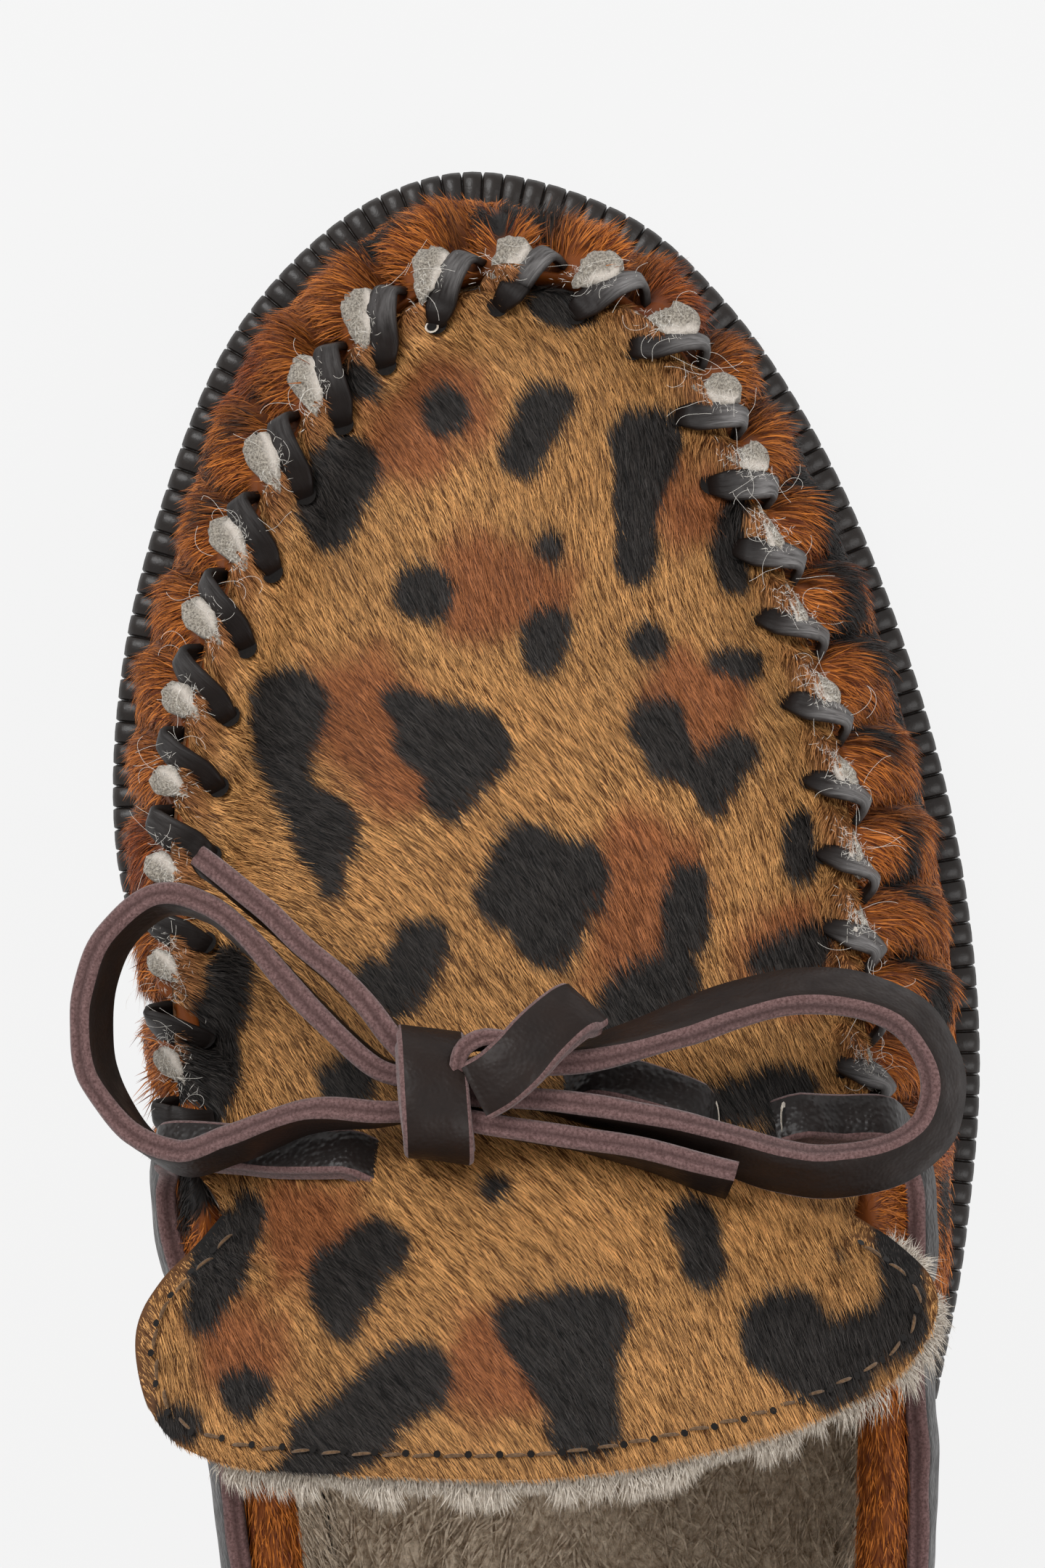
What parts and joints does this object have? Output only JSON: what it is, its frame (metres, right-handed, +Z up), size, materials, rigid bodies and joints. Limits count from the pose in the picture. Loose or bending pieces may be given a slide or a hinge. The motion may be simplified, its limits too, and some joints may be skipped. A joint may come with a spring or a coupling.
{
  "type": "low shoe, hand-laced moccasin slipper with a bow",
  "caption": "Low hair-hide moccasin with a ribbed cup sole, whip-stitched apron running on as a flared tongue, collar lace and a flat leather bow.",
  "frame": {"origin": "middle of the outsole's length and width, on the floor", "axes": "+X towards the toe, +Y towards the inner side of the foot, +Z up"},
  "size_m": [0.256, 0.1016, 0.0927],
  "materials": {
    "sole_rubber": "dark brown moulded rubber, satin",
    "wrap_hide": "hair-on hide, long red-brown hair with black spots",
    "apron_hide": "hair-on hide, short tan hair with black spots",
    "thong_leather": "dark brown grain leather, glossy, with raw cream hide edges",
    "lace_leather": "dark brown grain faces, purple-brown suede edges",
    "lining_fleece": "taupe fur lining"
  },
  "bodies": {
    "root": {"outsole": "sole_rubber", "insole": "lining_fleece", "upper": "wrap_hide", "apron_tongue": "apron_hide", "whip_seam": "thong_leather", "collar_lace_1": "lace_leather", "collar_lace_2": "lace_leather", "collar_lace_3": "lace_leather", "collar_lace_4": "lace_leather", "collar_lace_5": "lace_leather", "lace_front_middle": "lace_leather", "lace_front_outer": "lace_leather", "lace_front_inner": "lace_leather", "bow_knot": "lace_leather", "bow_knot_strand": "lace_leather", "bow_loop_inner": "lace_leather", "bow_tail_inner": "lace_leather", "bow_loop_outer": "lace_leather", "bow_tail_outer": "lace_leather"}
  },
  "joints": []
}
